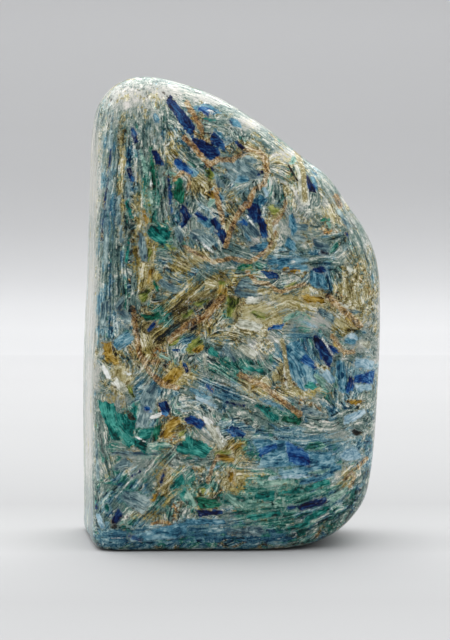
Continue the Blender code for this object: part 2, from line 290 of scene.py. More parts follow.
GOLD_CRYSTALS = [
    (106, 342, 108, 362, 9), (108, 356, 121, 368, 9), (165, 386, 179, 368, 13), (123, 396, 124, 414, 4),
    (166, 428, 180, 420, 10), (162, 438, 172, 430, 9), (216, 456, 234, 460, 8), (231, 450, 244, 442, 7),
    (210, 192, 216, 199, 8), (302, 298, 324, 300, 8), (347, 316, 356, 326, 8), (333, 341, 346, 356, 6),
    (346, 402, 368, 402, 5), (152, 502, 159, 490, 5), (282, 272, 299, 272, 5), (225, 286, 224, 296, 6),
    (230, 470, 234, 486, 7), (186, 108, 202, 130, 5), (217, 300, 222, 286, 5), (148, 284, 152, 268, 6),
    (250, 388, 262, 384, 6), (144, 210, 147, 226, 4), (192, 250, 204, 256, 5), (266, 160, 267, 176, 6),
    (196, 352, 204, 344, 6),
]
CREAM_CRYSTALS = [
    (103, 366, 110, 378, 7), (205, 419, 224, 446, 8), (298, 163, 304, 205, 8), (274, 339, 281, 343, 6),
    (247, 300, 262, 302, 5), (114, 380, 126, 392, 9), (358, 342, 373, 347, 6), (270, 220, 278, 236, 8),
    (330, 224, 338, 232, 4), (345, 262, 352, 272, 5), (238, 322, 262, 328, 8), (286, 362, 288, 388, 4),
    (240, 346, 256, 356, 8), (338, 302, 348, 308, 4), (130, 330, 117, 318, 3), (204, 354, 206, 374, 3),
    (186, 402, 200, 410, 3), (306, 212, 322, 208, 5), (290, 262, 294, 262, 2),
]
# White crystals, and painted glints: the thin lines along the dome and shoulder paint reflections of the
# lights on polished edges.
WHITE_AND_GLINT_CRYSTALS = [
    (195, 104, 217, 113, 1.6), (203, 118, 216, 112, 1.2), (190, 97, 210, 104, 2.2),
    (262, 205, 266, 213, 1.5), (244, 214, 255, 226, 2.0), (204, 245, 213, 252, 3.0),
    (196, 240, 210, 249, 2.2), (135, 436, 147, 443, 1.6), (150, 417, 161, 415, 3.8),
    (204, 419, 213, 424, 5.2), (103, 366, 109, 379, 4.5), (124, 372, 131, 375, 3.0),
    (274, 340, 279, 343, 3.0), (249, 343, 253, 347, 3.0), (116, 497, 132, 478, 1.5),
    (368, 269, 372, 273, 3.0), (262, 340, 266, 344, 2.2), (221, 102, 246, 114, 2.2),
    (236, 108, 262, 122, 2.2), (256, 119, 286, 138, 2.2), (300, 206, 306, 211, 2.2),
    (340, 360, 352, 357, 1.5), (360, 350, 374, 352, 1.5), (270, 237, 277, 224, 3.0),
    (263, 258, 270, 250, 2.2), (322, 338, 336, 360, 1.5), (150, 172, 152, 196, 1.5),
    (165, 146, 170, 143, 2.2), (216, 426, 224, 444, 3.0), (332, 312, 340, 318, 2.2),
    (186, 250, 198, 256, 1.5),
]
# Dark grains, and painted shade: the marks at the pits and cracks paint the shadow inside these hollows.
DARK_AND_PIT_SHADE_CRYSTALS = [
    (107, 98, 112, 101, 4), (104, 104, 106, 107, 4), (162, 90, 168, 98, 3), (351, 430, 361, 435, 6),
    (112, 526, 117, 529, 5), (126, 408, 133, 420, 5), (347, 350, 356, 354, 4), (198, 322, 210, 312, 4),
    (206, 308, 214, 300, 4), (136, 362, 140, 370, 3), (118, 125, 119, 150, 2), (163, 364, 168, 368, 4),
    (332, 304, 342, 310, 4), (330, 296, 336, 300, 3), (289, 164, 297, 182, 3), (190, 330, 198, 326, 4),
    (112, 346, 116, 356, 3), (212, 246, 216, 250, 3), (198, 240, 202, 246, 3), (274, 436, 277, 440, 3),
]

# Veins, as pixels along each and the width in pixels
RUST_VEINS = [
    ([(186, 102), (196, 118), (203, 132)], 5),
    ([(184, 137), (198, 152), (209, 165), (219, 159), (232, 160), (249, 149), (260, 152),
      (266, 160), (267, 174), (264, 184), (255, 189), (251, 197), (248, 206)], 5),
    ([(216, 190), (219, 206), (223, 222)], 5),
    ([(133, 308), (136, 330), (139, 352), (146, 362), (158, 362)], 5),
    ([(240, 375), (262, 385), (282, 401), (300, 414)], 6),
    ([(184, 246), (200, 256), (214, 262), (232, 258), (250, 262), (268, 250), (276, 232)], 4),
    ([(286, 201), (282, 215), (273, 224)], 4),
    ([(367, 458), (352, 472), (344, 480)], 3),
    ([(355, 476), (350, 487)], 3),
    ([(247, 272), (256, 282), (268, 284), (280, 292), (304, 284)], 4),
    ([(332, 336), (344, 352), (354, 352)], 4),
    ([(328, 296), (338, 306), (350, 316), (360, 326)], 6),
    ([(174, 180), (182, 172), (190, 176), (188, 190)], 3),
    ([(226, 246), (230, 232), (238, 214), (246, 204)], 5),
    ([(170, 340), (186, 326), (206, 316), (222, 298)], 7),
    ([(140, 356), (150, 372), (162, 384), (178, 388)], 5),
    ([(152, 524), (162, 521), (170, 524)], 3),
    ([(218, 456), (212, 468), (208, 482)], 4),
    ([(336, 196), (340, 206)], 5),
]
CREAM_VEINS = [
    ([(282, 340), (286, 362), (290, 386), (302, 392)], 4),
    ([(266, 316), (286, 306), (304, 310)], 3),
    ([(283, 210), (270, 220), (272, 236), (276, 244), (264, 258)], 3),
    ([(296, 150), (303, 170), (305, 200)], 5),
]

# Each kind of vein, and how ragged its edges are
VEINS = [("rust", RUST_VEINS, 1.5), ("cream_vein", CREAM_VEINS, 1.0)]

# Pits and hollows, as (x, y, radius in pixels, depth in millimetres)
PITS = [
    (109.5, 99.5, 4.0, 0.7), (105.0, 105.5, 3.5, 0.6), (109.0, 350.0, 5.5, 0.9), (114.0, 362.0, 5.5, 0.9),
    (356.0, 432.0, 4.5, 0.7), (129.0, 414.0, 5.0, 0.6), (304.0, 158.5, 3.2, 0.9),
    (305.5, 163.0, 3.0, 0.6), (165.0, 94.0, 3.0, 0.4), (352.0, 352.0, 3.5, 0.4), (115.0, 527.0, 3.5, 0.5),
]

# Crystals away from the front, which the picture doesn't show: how many, their lengths, their
# widths as shares of those, and how far they turn off the grain and lean out of its plane
HIDDEN_CRYSTALS = 520
HIDDEN_LENGTH = (2.0, 9.0)
HIDDEN_SLENDERNESS = (0.18, 0.55)
HIDDEN_TURN = 0.5
HIDDEN_TILT = 0.4

# A surface's outward Y from which it takes hidden crystals, and up to which it takes veins
HIDDEN_FROM = -0.05
VEINS_UP_TO = 0.1

# How far a crystal's ends slant and its sides taper, at most, and how much both ends narrow, all
# as shares of its size. The narrowing grows with a power of the distance from the middle.
SLANT = 0.8
TAPER = 0.4
POINT = 0.2
POINT_POWER = 3

# How far a crystal's change from dark to light may be off its middle, as a share of its half length
FADE_SHIFT = 0.7
SEED = 11


def linear(red, green, blue):
    """A screen colour from 0 to 255 as the linear colour that shaders use."""
    shares = [channel / 255.0 for channel in (red, green, blue)]
    return tuple(
        share / 12.92 if share <= 0.04045 else ((share + 0.055) / 1.055) ** 2.4
        for share in shares
    ) + (1.0,)


# Each colour's crystals, how ragged their rims are, how solid they stay where they fade into the
# rock, and their dark, middle and light screen colours. Later colours lie over earlier ones, and
# the last share is of the hidden crystals.
LAYERS = [
    ("slate", SLATE_CRYSTALS, 1.3, 0.5, (40, 64, 80), (98, 128, 132), (186, 204, 200), 0.20),
    ("steel", STEEL_CRYSTALS, 1.3, 0.7, (8, 54, 82), (66, 126, 148), (172, 206, 212), 0.17),
    ("teal", TEAL_CRYSTALS, 1.3, 1.0, (0, 32, 34), (0, 104, 96), (90, 184, 168), 0.08),
    ("emerald", EMERALD_CRYSTALS, 1.3, 1.0, (0, 22, 14), (0, 82, 60), (66, 158, 128), 0.06),
    ("mint", MINT_CRYSTALS, 1.4, 0.5, (72, 120, 108), (138, 180, 162), (212, 228, 212), 0.08),
    ("sky", SKY_CRYSTALS, 1.2, 0.8, (90, 134, 156), (156, 188, 200), (220, 234, 238), 0.06),
    ("royal", ROYAL_CRYSTALS, 1.2, 0.9, (0, 18, 72), (6, 68, 132), (96, 156, 196), 0.07),
    ("navy", NAVY_CRYSTALS, 1.2, 0.95, (0, 0, 30), (0, 30, 82), (50, 106, 152), 0.07),
    ("olive", OLIVE_CRYSTALS, 1.8, 0.6, (24, 34, 6), (106, 120, 46), (190, 192, 108), 0.04),
    ("gold", GOLD_CRYSTALS, 1.9, 0.75, (54, 34, 0), (156, 122, 36), (222, 198, 116), 0.04),
    ("cream", CREAM_CRYSTALS, 1.4, 0.5, (136, 138, 118), (200, 202, 182), (250, 250, 242), 0.07),
    # The white layer also paints glints along the dome and shoulder, and the dark layer the shade inside
    # pits and cracks.
    ("white", WHITE_AND_GLINT_CRYSTALS, 0.7, 0.8, (196, 200, 190), (236, 238, 232), (255, 255, 252), 0.02),
    ("dark", DARK_AND_PIT_SHADE_CRYSTALS, 0.9, 0.8, (4, 4, 6), (22, 20, 18), (84, 74, 56), 0.05),
]


def camera_axes():
    """The camera's place and its right, up and forward directions."""
    place = TARGET + np.array([0.0, -CAMERA_DISTANCE, CAMERA_RISE])
    forward = (TARGET - place) / np.linalg.norm(TARGET - place)
    right = np.cross(forward, [0.0, 0.0, 1.0])
    right /= np.linalg.norm(right)
    return place, right, np.cross(right, forward), forward


def focal_pixels():
    """The camera's focal length in pixels of the picture."""
    return math.hypot(CAMERA_DISTANCE, CAMERA_RISE) / MM_PER_PIXEL


def to_pixels(points):
    """Where points appear in the picture. Those behind the middle plane count as lying on it."""
    place, right, up, forward = camera_axes()
    offset = points - place
    offset[:, 1] = np.minimum(points[:, 1], 0.0) - place[1]
    deep = offset @ forward
    across = PICTURE[0] / 2 + focal_pixels() * (offset @ right) / deep
    down = PICTURE[1] / 2 - focal_pixels() * (offset @ up) / deep
    return np.stack([across, down], axis=1)


def on_front(tree, x, y):
    """(point, outward direction) of the surface at a pixel, or None beside the stone."""
    place, right, up, forward = camera_axes()
    ray = forward * focal_pixels() + right * (x - PICTURE[0] / 2) - up * (y - PICTURE[1] / 2)
    point, normal, _, _ = tree.ray_cast(Vector(place), Vector(ray).normalized())
    if point is None:
        return None
    return np.array(point), np.array(normal)


def smooth_solid(node):
    """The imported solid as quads, rounded by subdivision, as a search tree in millimetres."""
    mesh = bpy.data.meshes.new("smooth_solid")
    grid = bmesh.new()
    grid.from_mesh(node.data)
    bmesh.ops.remove_doubles(grid, verts=grid.verts, dist=SAME_POINT)
    bmesh.ops.join_triangles(
        grid, faces=grid.faces, angle_face_threshold=JOIN_BEND, angle_shape_threshold=JOIN_SKEW
    )
    grid.to_mesh(mesh)
    grid.free()
    copy = bpy.data.objects.new("smooth_solid", mesh)
    bpy.context.scene.collection.objects.link(copy)
    rounding = copy.modifiers.new("rounding", "SUBSURF")
    rounding.levels = SMOOTH_LEVELS
    bpy.context.view_layer.update()
    rounded = copy.evaluated_get(bpy.context.evaluated_depsgraph_get()).to_mesh()
    corners = [vertex.co / MM for vertex in rounded.vertices]
    faces = [tuple(face.vertices) for face in rounded.polygons]
    tree = BVHTree.FromPolygons(corners, faces)
    bpy.data.objects.remove(copy)
    bpy.data.meshes.remove(mesh)
    return tree


def box_lattice(cells):
    """(points from -1 to 1 on the faces of a gridded box, quads that join them)."""
    shape = tuple(count + 1 for count in cells)
    numbers = np.arange(np.prod(shape)).reshape(shape)
    sheets = []
    for axis in range(3):
        for side in (0, -1):
            sheet = np.take(numbers, side, axis=axis)
            quads = np.stack([sheet[:-1, :-1], sheet[1:, :-1], sheet[1:, 1:], sheet[:-1, 1:]], -1)
            quads = quads.reshape(-1, 4)
            inward = (axis == 1) == (side == -1)
            sheets.append(quads[:, ::-1] if inward else quads)
    used, quads = np.unique(np.concatenate(sheets), return_inverse=True)
    index = np.stack(np.unravel_index(used, shape), axis=1)
    return 2.0 * index / np.array(cells) - 1.0, quads.reshape(-1, 4)


def cast_skin(tree):
    """(points, quads) of the fine skin: a gridded box cast onto the solid from its heart."""
    lattice, quads = box_lattice(SKIN_CELLS)
    aims = lattice * HALF_BOX
    aims /= np.linalg.norm(aims, axis=1)[:, None]
    heart = Vector(HEART)
    points = []
    for aim in aims:
        point, _, _, _ = tree.ray_cast(heart, Vector(aim))
        points.append(point)
    return np.array(points), quads


def outward_normals(points, quads):
    """Each vertex's outward direction, from the quads round it."""
    first, second, third, fourth = (points[quads[:, corner]] for corner in range(4))
    facing = np.cross(third - first, fourth - second)
    normals = np.zeros_like(points)
    for corner in range(4):
        np.add.at(normals, quads[:, corner], facing)
    return normals / np.linalg.norm(normals, axis=1)[:, None]


def to_line(pixels, line, run_on=0.0):
    """(distance, distance along, signed distance aside) of the nearest place on a line.

    The line runs on straight past each end, for run_on times its end span.
    """
    best = np.full(len(pixels), np.inf)
    along = np.zeros(len(pixels))
    aside = np.zeros(len(pixels))
    passed = 0.0
    last = len(line) - 2
    for number, (start, end) in enumerate(zip(line[:-1], line[1:])):
        start = np.array(start, float)
        step = np.array(end, float) - start
        length = np.hypot(*step)
        offset = pixels - start
        low = -run_on if number == 0 else 0.0
        high = 1.0 + run_on if number == last else 1.0
        share = np.clip(offset @ step / length ** 2, low, high)
        gap = np.hypot(*(offset - share[:, None] * step).T)
        side = (offset[:, 0] * step[1] - offset[:, 1] * step[0]) / length
        nearer = gap < best
        best = np.where(nearer, gap, best)
        along = np.where(nearer, passed + share * length, along)
        aside = np.where(nearer, np.copysign(gap, side), aside)
        passed += length
    return best, along, aside


def grain_fields(pixels):
    """The stored grain: how far along and beside the ruling long line, its hold, and the turn."""
    hold = np.zeros(len(pixels))
    along = np.zeros(len(pixels))
    aside = np.zeros(len(pixels))
    for number, (line, reach) in enumerate(GRAIN_LINES):
        gap, _, _ = to_line(pixels, line)
        rule = np.exp(-((gap / reach) ** 2))
        _, line_along, line_aside = to_line(pixels, line, RUN_ON)
        stronger = rule > hold
        hold = np.where(stronger, rule, hold)
        along = np.where(stronger, line_along * MM_PER_PIXEL + LINE_GAP * number, along)
        aside = np.where(stronger, line_aside * MM_PER_PIXEL, aside)
    twice_cos = np.full(len(pixels), IDLE_PULL)
    twice_sin = np.zeros(len(pixels))
    for x, y, degrees, reach in GRAIN_TURNS:
        pull = np.exp(-(((pixels[:, 0] - x) ** 2 + (pixels[:, 1] - y) ** 2) / reach ** 2))
        twice_cos += pull * math.cos(math.radians(2 * degrees))
        twice_sin += pull * math.sin(math.radians(2 * degrees))
    size = np.hypot(twice_cos, twice_sin)
    return {
        "along": along, "aside": aside, "hold": hold,
        "twice_cos": twice_cos / size, "twice_sin": twice_sin / size,
    }


def tint(pixels, areas):
    """How strong a tint is at each vertex, from its soft oval areas."""
    strength = np.zeros(len(pixels))
    for x, y, across, up, share in areas:
        gap = ((pixels[:, 0] - x) / across) ** 2 + ((pixels[:, 1] - y) / up) ** 2
        strength = np.maximum(strength, share * np.exp(-gap))
    return strength


class Skin:
    """The skin's vertices and what is stored on them."""

    def __init__(self, tree):
        self.tree = tree
        self.points, self.quads = cast_skin(tree)
        self.normals = outward_normals(self.points, self.quads)
        self.pixels = to_pixels(self.points)
        self.chance = np.random.default_rng(SEED)
        self.stored = {}

    def add_crystal(self, layer, centre, normal, direction, half_length, half_width):
        """Marks one slanted blade: its depth inside the rim, its direction and its fade."""
        slant = self.chance.uniform(-SLANT, SLANT)
        taper = self.chance.uniform(-TAPER, TAPER)
        along = direction - (direction @ normal) * normal
        along /= np.linalg.norm(along)
        across = np.cross(normal, along)
        reach = half_length + half_width + RIM_REACH
        near = np.linalg.norm(self.points - centre, axis=1) < reach
        offset = self.points[near] - centre
        beside = offset @ across
        length_place = (offset @ along + slant * beside) / half_length
        narrowing = 1.0 - taper * length_place - POINT * np.abs(length_place) ** POINT_POWER
        width_room = half_width * narrowing - np.abs(beside)
        length_room = half_length * (1.0 - np.abs(length_place)) / math.hypot(1.0, slant)
        depth_room = half_length + half_width - np.abs(offset @ normal)
        inside = np.minimum(np.minimum(width_room, length_room), depth_room)
        stored = self.stored[layer]
        stored[near] = np.maximum(stored[near], inside)
        held = np.flatnonzero(near)[inside > 0.0]
        turn = math.atan2(direction[2], direction[0])
        self.stored["twice_cos"][held] = math.cos(2 * turn)
        self.stored["twice_sin"][held] = math.sin(2 * turn)
        self.stored["settled"][held] = 1.0
        self.stored["fade"][held] = (
            length_place[inside > 0.0] * self.chance.choice([-1.0, 1.0])
            + self.chance.uniform(-FADE_SHIFT, FADE_SHIFT)
        )

    def add_pit(self, x, y, radius, depth):
        """Presses a soft round hollow into the front."""
        found = on_front(self.tree, x, y)
        if found is None:
            return
        gap = np.linalg.norm(self.points - found[0], axis=1) / (radius * MM_PER_PIXEL)
        self.points -= self.normals * (depth * np.exp(-(gap ** 2)))[:, None]


def place_crystal(skin, layer, crystal):
    """A crystal on the front, from the pixels of its two ends."""
    x1, y1, x2, y2, width = crystal
    found = on_front(skin.tree, (x1 + x2) / 2, (y1 + y2) / 2)
    if found is None:
        return
    _, right, up, _ = camera_axes()
    direction = right * (x2 - x1) - up * (y2 - y1)
    length = math.hypot(x2 - x1, y2 - y1)
    skin.add_crystal(
        layer, *found, direction / np.linalg.norm(direction),
        length * MM_PER_PIXEL / 2, width * MM_PER_PIXEL / 2,
    )


def place_hidden_crystals(skin):
    """Seeded crystals on the sides, back and top, which face away from the camera."""
    shares = np.array([layer[-1] for layer in LAYERS])
    away = np.flatnonzero(skin.normals[:, 1] > HIDDEN_FROM)
    for _ in range(HIDDEN_CRYSTALS):
        layer = LAYERS[skin.chance.choice(len(LAYERS), p=shares / shares.sum())]
        vertex = skin.chance.choice(away)
        half_length = skin.chance.uniform(*HIDDEN_LENGTH) / 2
        turn = math.atan2(skin.stored["twice_sin"][vertex], skin.stored["twice_cos"][vertex]) / 2
        turn += skin.chance.normal(0.0, HIDDEN_TURN)
        tilt = skin.chance.normal(0.0, HIDDEN_TILT)
        direction = np.array([math.cos(turn), tilt, math.sin(turn)])
        skin.add_crystal(
            layer[0], skin.points[vertex], skin.normals[vertex],
            direction / np.linalg.norm(direction), half_length,
            half_length * skin.chance.uniform(*HIDDEN_SLENDERNESS),
        )


def place_veins(skin, layer, veins):
    """Marks how far inside its veins each vertex is, on the front alone."""
    front = skin.normals[:, 1] < VEINS_UP_TO
    stored = skin.stored[layer]
    for line, width in veins:
        gap, _, _ = to_line(skin.pixels, line)
        inside = (width / 2 - gap) * MM_PER_PIXEL
        stored[front] = np.maximum(stored[front], inside[front])


def dressed_skin():
    """The skin with everything that the shader reads stored on it."""
    skin = Skin(smooth_solid(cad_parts["kyanite_stone"]))
    skin.stored = grain_fields(skin.pixels)
    for name, areas in TINTS.items():
        skin.stored[name] = tint(skin.pixels, areas)
    for name in ("settled", "fade"):
        skin.stored[name] = np.zeros(len(skin.points))
    for name, *_ in LAYERS + VEINS:
        skin.stored[name] = np.full(len(skin.points), -RIM_REACH)
    place_hidden_crystals(skin)
    for name, crystals, *_ in LAYERS:
        for crystal in crystals:
            place_crystal(skin, name, crystal)
    for name, veins, _ in VEINS:
        place_veins(skin, name, veins)
    for pit in PITS:
        skin.add_pit(*pit)
    return skin


def skin_object(skin, material):
    """The stone that is seen. It stands in for the plain solid."""
    mesh = bpy.data.meshes.new("polished_stone")
    mesh.from_pydata((skin.points * MM).tolist(), [], skin.quads.tolist())
    mesh.shade_smooth()
    mesh.materials.append(material)
    for name, values in skin.stored.items():
        attribute = mesh.attributes.new(name, "FLOAT", "POINT")
        attribute.data.foreach_set("value", np.maximum(values, -RIM_REACH).astype(np.float32))
    stone = bpy.data.objects.new("polished_stone", mesh)
    bpy.context.scene.collection.objects.link(stone)
    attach(stone, "root")
    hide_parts("kyanite_stone")


class Shader:
    """Short calls that add shader nodes. A value may be a number or another node's output."""

    def __init__(self, owner):
        owner.use_nodes = True
        self.owner = owner
        self.tree = owner.node_tree
        self.surface = self.tree.nodes.get("Principled BSDF")

    def fill(self, socket, value):
        """Sets a socket to a number, or links another node's output to it."""
        if isinstance(value, bpy.types.NodeSocket):
            self.tree.links.new(value, socket)
        else:
            socket.default_value = value

    def add(self, kind, inputs=None, **settings):
        """A new node with its inputs and settings filled in."""
        node = self.tree.nodes.new("ShaderNode" + kind)
        for name, value in settings.items():
            setattr(node, name, value)
        for name, value in (inputs or {}).items():
            self.fill(node.inputs[name], value)
        return node

    def sum(self, operation, *values):
        return self.add("Math", dict(enumerate(values)), operation=operation).outputs[0]

    def vector(self, operation, *values):
        return self.add("VectorMath", dict(enumerate(values)), operation=operation).outputs[0]

    def scale(self, vector, factor):
        return self.add("VectorMath", {0: vector, "Scale": factor}, operation="SCALE").outputs[0]

    def stretch(self, grain, size):
        """Grain coordinates in units of a long, thin thing's length and width."""
        length, width = size
        return self.vector("MULTIPLY", grain, (1 / length, 1 / width, 1 / width))

    def cells(self, vector):
        """Three random numbers of the cell that each place falls in."""
        return self.axes(self.add("TexVoronoi", {"Vector": vector, "Scale": 1.0}).outputs["Color"])

    def apart(self, value, middle):
        """How far a value is from a middle one, either way."""
        return self.sum("ABSOLUTE", self.sum("SUBTRACT", value, middle))

    def mixture(self, total, terms):
        """The total plus each (value, middle, weight) as weight times (value - middle).

        A value may also be the name of a number that is stored on the mesh.
        """
        for value, middle, weight in terms:
            if isinstance(value, str):
                value = self.stored(value)
            total = self.sum("MULTIPLY_ADD", value, weight, total)
            if middle:
                total = self.sum("SUBTRACT", total, middle * weight)
        return total

    def stored(self, name):
        """A number that is stored on the mesh."""
        return self.add("Attribute", attribute_name=name).outputs["Fac"]

    def noise(self, vector, scale, detail=2.0, roughness=0.5, output="Fac"):
        node = self.add("TexNoise", {
            "Vector": vector, "Scale": scale, "Detail": detail, "Roughness": roughness,
        })
        return node.outputs[output]

    def streaks(self, vector, scale, detail):
        """Three unlike soft noises at each place."""
        return self.axes(self.noise(vector, scale, detail, STREAK_ROUGHNESS, "Color"))

    def ramp(self, value, stops):
        """A value's colour, from stops of a place and a screen colour."""
        node = self.add("ValToRGB", {"Fac": value})
        elements = node.color_ramp.elements
        while len(elements) < len(stops):
            elements.new(0.5)
        for element, (place, colour) in zip(elements, stops):
            element.position = place
            element.color = linear(*colour)
        return node.outputs["Color"]

    def between(self, value, low, high, to_low=0.0, to_high=1.0):
        """A soft step from one number to another, while the value goes from low to high."""
        node = self.add("MapRange", {
            "Value": value, "From Min": low, "From Max": high, "To Min": to_low, "To Max": to_high,
        }, interpolation_type="SMOOTHSTEP")
        return node.outputs["Result"]

    def blend(self, share, lower, upper, kind="RGBA"):
        """The lower value turning into the upper one. The kind is RGBA or VECTOR."""
        node = self.add("Mix", data_type=kind)
        for name, value in (("Factor", share), ("A", lower), ("B", upper)):
            sockets = [s for s in node.inputs if s.name == name and s.enabled]
            self.fill(sockets[0], value)
        return [s for s in node.outputs if s.enabled][0]

    def axes(self, vector):
        return self.add("SeparateXYZ", {0: vector}).outputs

    def join(self, x, y, z):
        return self.add("CombineXYZ", {"X": x, "Y": y, "Z": z}).outputs[0]


# Sizes of the rock's texture, in millimetres. A domain is a patch whose fibres share a direction,
# give or take its turn in radians. Blades, laths and slivers are flat crystals, brush strokes,
# threads and hairs are soft streaks, and each is given as length and width.
DOMAIN_SIZE = 9.5
DOMAIN_WARP = 3.0
DOMAIN_WARP_SIZE = 12.0
DOMAIN_TURN = 1.5
DOMAIN_SHIFT = 90.0
RIPPLE = 0.45
BLADE = (9.5, 2.5)
LATH = (6.0, 0.9)
SLIVER = (5.0, 0.36)
BRUSH = (10.0, 1.4)
THREAD = (6.0, 0.44)
HAIR = (11.0, 0.6)
GRAIN_SIZE = 0.62
GRAIN_STIR = 2.4

# How much the fibres along the long lines are stretched, the hold from which a line rules and how
# ragged the border of its rule is
LINE_STRETCH = (0.6, 0.85, 0.85)
LINE_RULES_FROM = 0.42
BORDER_RAG = 0.5

# A pale hair runs where its noise is at this level. It is gone, and full, this far from it.
HAIR_LEVEL = 0.52
HAIR_EDGES = (0.022, 0.006)

# How much of the brush strokes, threads and clouds is fine detail
STREAK_ROUGHNESS = 0.62

# How fine the soft noises are, in waves per millimetre
PATCH_WAVES = 0.09
SEAM_WAVES = 0.13
CLOUD_WAVES = 0.17
BORDER_WAVES = 0.35
LIGHT_WAVES = 0.4
RIPPLE_WAVES = 0.45
RIM_WAVES = 0.45
RAG_WAVES = 0.8
STIR_WAVES = 0.9
DUST_WAVES = 2.2

GREY_RAMP = [
    (0.00, (12, 28, 32)), (0.18, (40, 66, 68)), (0.38, (76, 103, 98)), (0.56, (108, 131, 122)),
    (0.74, (142, 156, 146)), (0.88, (180, 186, 174)), (1.00, (226, 224, 212)),
]
# Flat pale colours of pale stone and of the painted sheen on the rims and dome
PALE_AND_SHEEN_RAMP = [
    (0.00, (60, 74, 76)), (0.40, (118, 128, 122)), (0.66, (164, 168, 160)), (0.86, (190, 188, 180)),
    (1.00, (212, 208, 202)),
]
BLUE_RAMP = [
    (0.00, (2, 20, 44)), (0.20, (18, 58, 84)), (0.40, (50, 99, 120)), (0.60, (96, 138, 148)),
    (0.80, (150, 180, 182)), (1.00, (220, 228, 222)),
]
WARM_RAMP = [
    (0.00, (26, 20, 8)), (0.22, (78, 68, 34)), (0.46, (134, 122, 74)), (0.68, (176, 166, 118)),
    (0.86, (210, 204, 168)), (1.00, (240, 236, 218)),
]
GREEN_RAMP = [
    (0.00, (0, 30, 28)), (0.26, (8, 78, 70)), (0.54, (58, 128, 114)), (0.80, (130, 172, 156)),
    (1.00, (206, 218, 202)),
]
OCHRE_RAMP = [
    (0.00, (26, 18, 2)), (0.26, (84, 70, 20)), (0.50, (144, 128, 54)), (0.76, (188, 172, 94)),
    (1.00, (222, 208, 154)),
]
RUST_RAMP = [
    (0.00, (28, 14, 8)), (0.28, (102, 60, 28)), (0.58, (170, 120, 62)), (0.84, (214, 178, 118)),
    (1.00, (232, 218, 186)),
]


def grain_space(shader, place):
    """(grain coordinates, three random numbers of the domain, distance to its edge, line hold)."""
    warp = shader.noise(place, 1.0 / DOMAIN_WARP_SIZE, detail=1.0, output="Color")
    warp = shader.scale(shader.vector("SUBTRACT", warp, (0.5, 0.5, 0.5)), 2.0 * DOMAIN_WARP)
    bent = shader.vector("ADD", place, warp)
    cells = shader.add("TexVoronoi", {"Vector": bent, "Scale": 1.0 / DOMAIN_SIZE})
    edges = shader.add(
        "TexVoronoi", {"Vector": bent, "Scale": 1.0 / DOMAIN_SIZE}, feature="DISTANCE_TO_EDGE"
    )
    chances = shader.axes(cells.outputs["Color"])
    centred = shader.axes(shader.vector("SUBTRACT", bent, cells.outputs["Position"]))

    free = shader.sum("SUBTRACT", 1.0, shader.stored("settled"))
    jitter = shader.sum("MULTIPLY", shader.sum("SUBTRACT", chances[0], 0.5), DOMAIN_TURN)
    turn = shader.sum("ARCTAN2", shader.stored("twice_sin"), shader.stored("twice_cos"))
    turn = shader.sum("MULTIPLY_ADD", turn, 0.5, shader.sum("MULTIPLY", jitter, free))
    cosine = shader.sum("COSINE", turn)
    sine = shader.sum("SINE", turn)
    along = shader.sum(
        "ADD", shader.sum("MULTIPLY", centred[0], cosine), shader.sum("MULTIPLY", centred[2], sine)
    )
    aside = shader.sum(
        "SUBTRACT", shader.sum("MULTIPLY", centred[2], cosine),
        shader.sum("MULTIPLY", centred[0], sine)
    )
    own_place = shader.scale(cells.outputs["Color"], DOMAIN_SHIFT)
    in_domain = shader.vector("ADD", shader.join(along, aside, centred[1]), own_place)

    deep = shader.axes(place)[1]
    on_line = shader.vector(
        "MULTIPLY", shader.join(shader.stored("along"), shader.stored("aside"), deep), LINE_STRETCH
    )
    hold = shader.mixture(0.0, [
        ("hold", 0.0, 1.0), (shader.noise(place, BORDER_WAVES), 0.5, BORDER_RAG),
    ])
    hold = shader.sum("MULTIPLY", shader.sum("GREATER_THAN", hold, LINE_RULES_FROM), free)
    ripple = shader.noise(place, RIPPLE_WAVES, output="Color")
    grain = shader.vector(
        "ADD", shader.blend(hold, in_domain, on_line, "VECTOR"), shader.scale(ripple, 2.0 * RIPPLE)
    )
    return grain, chances, edges.outputs["Distance"], hold


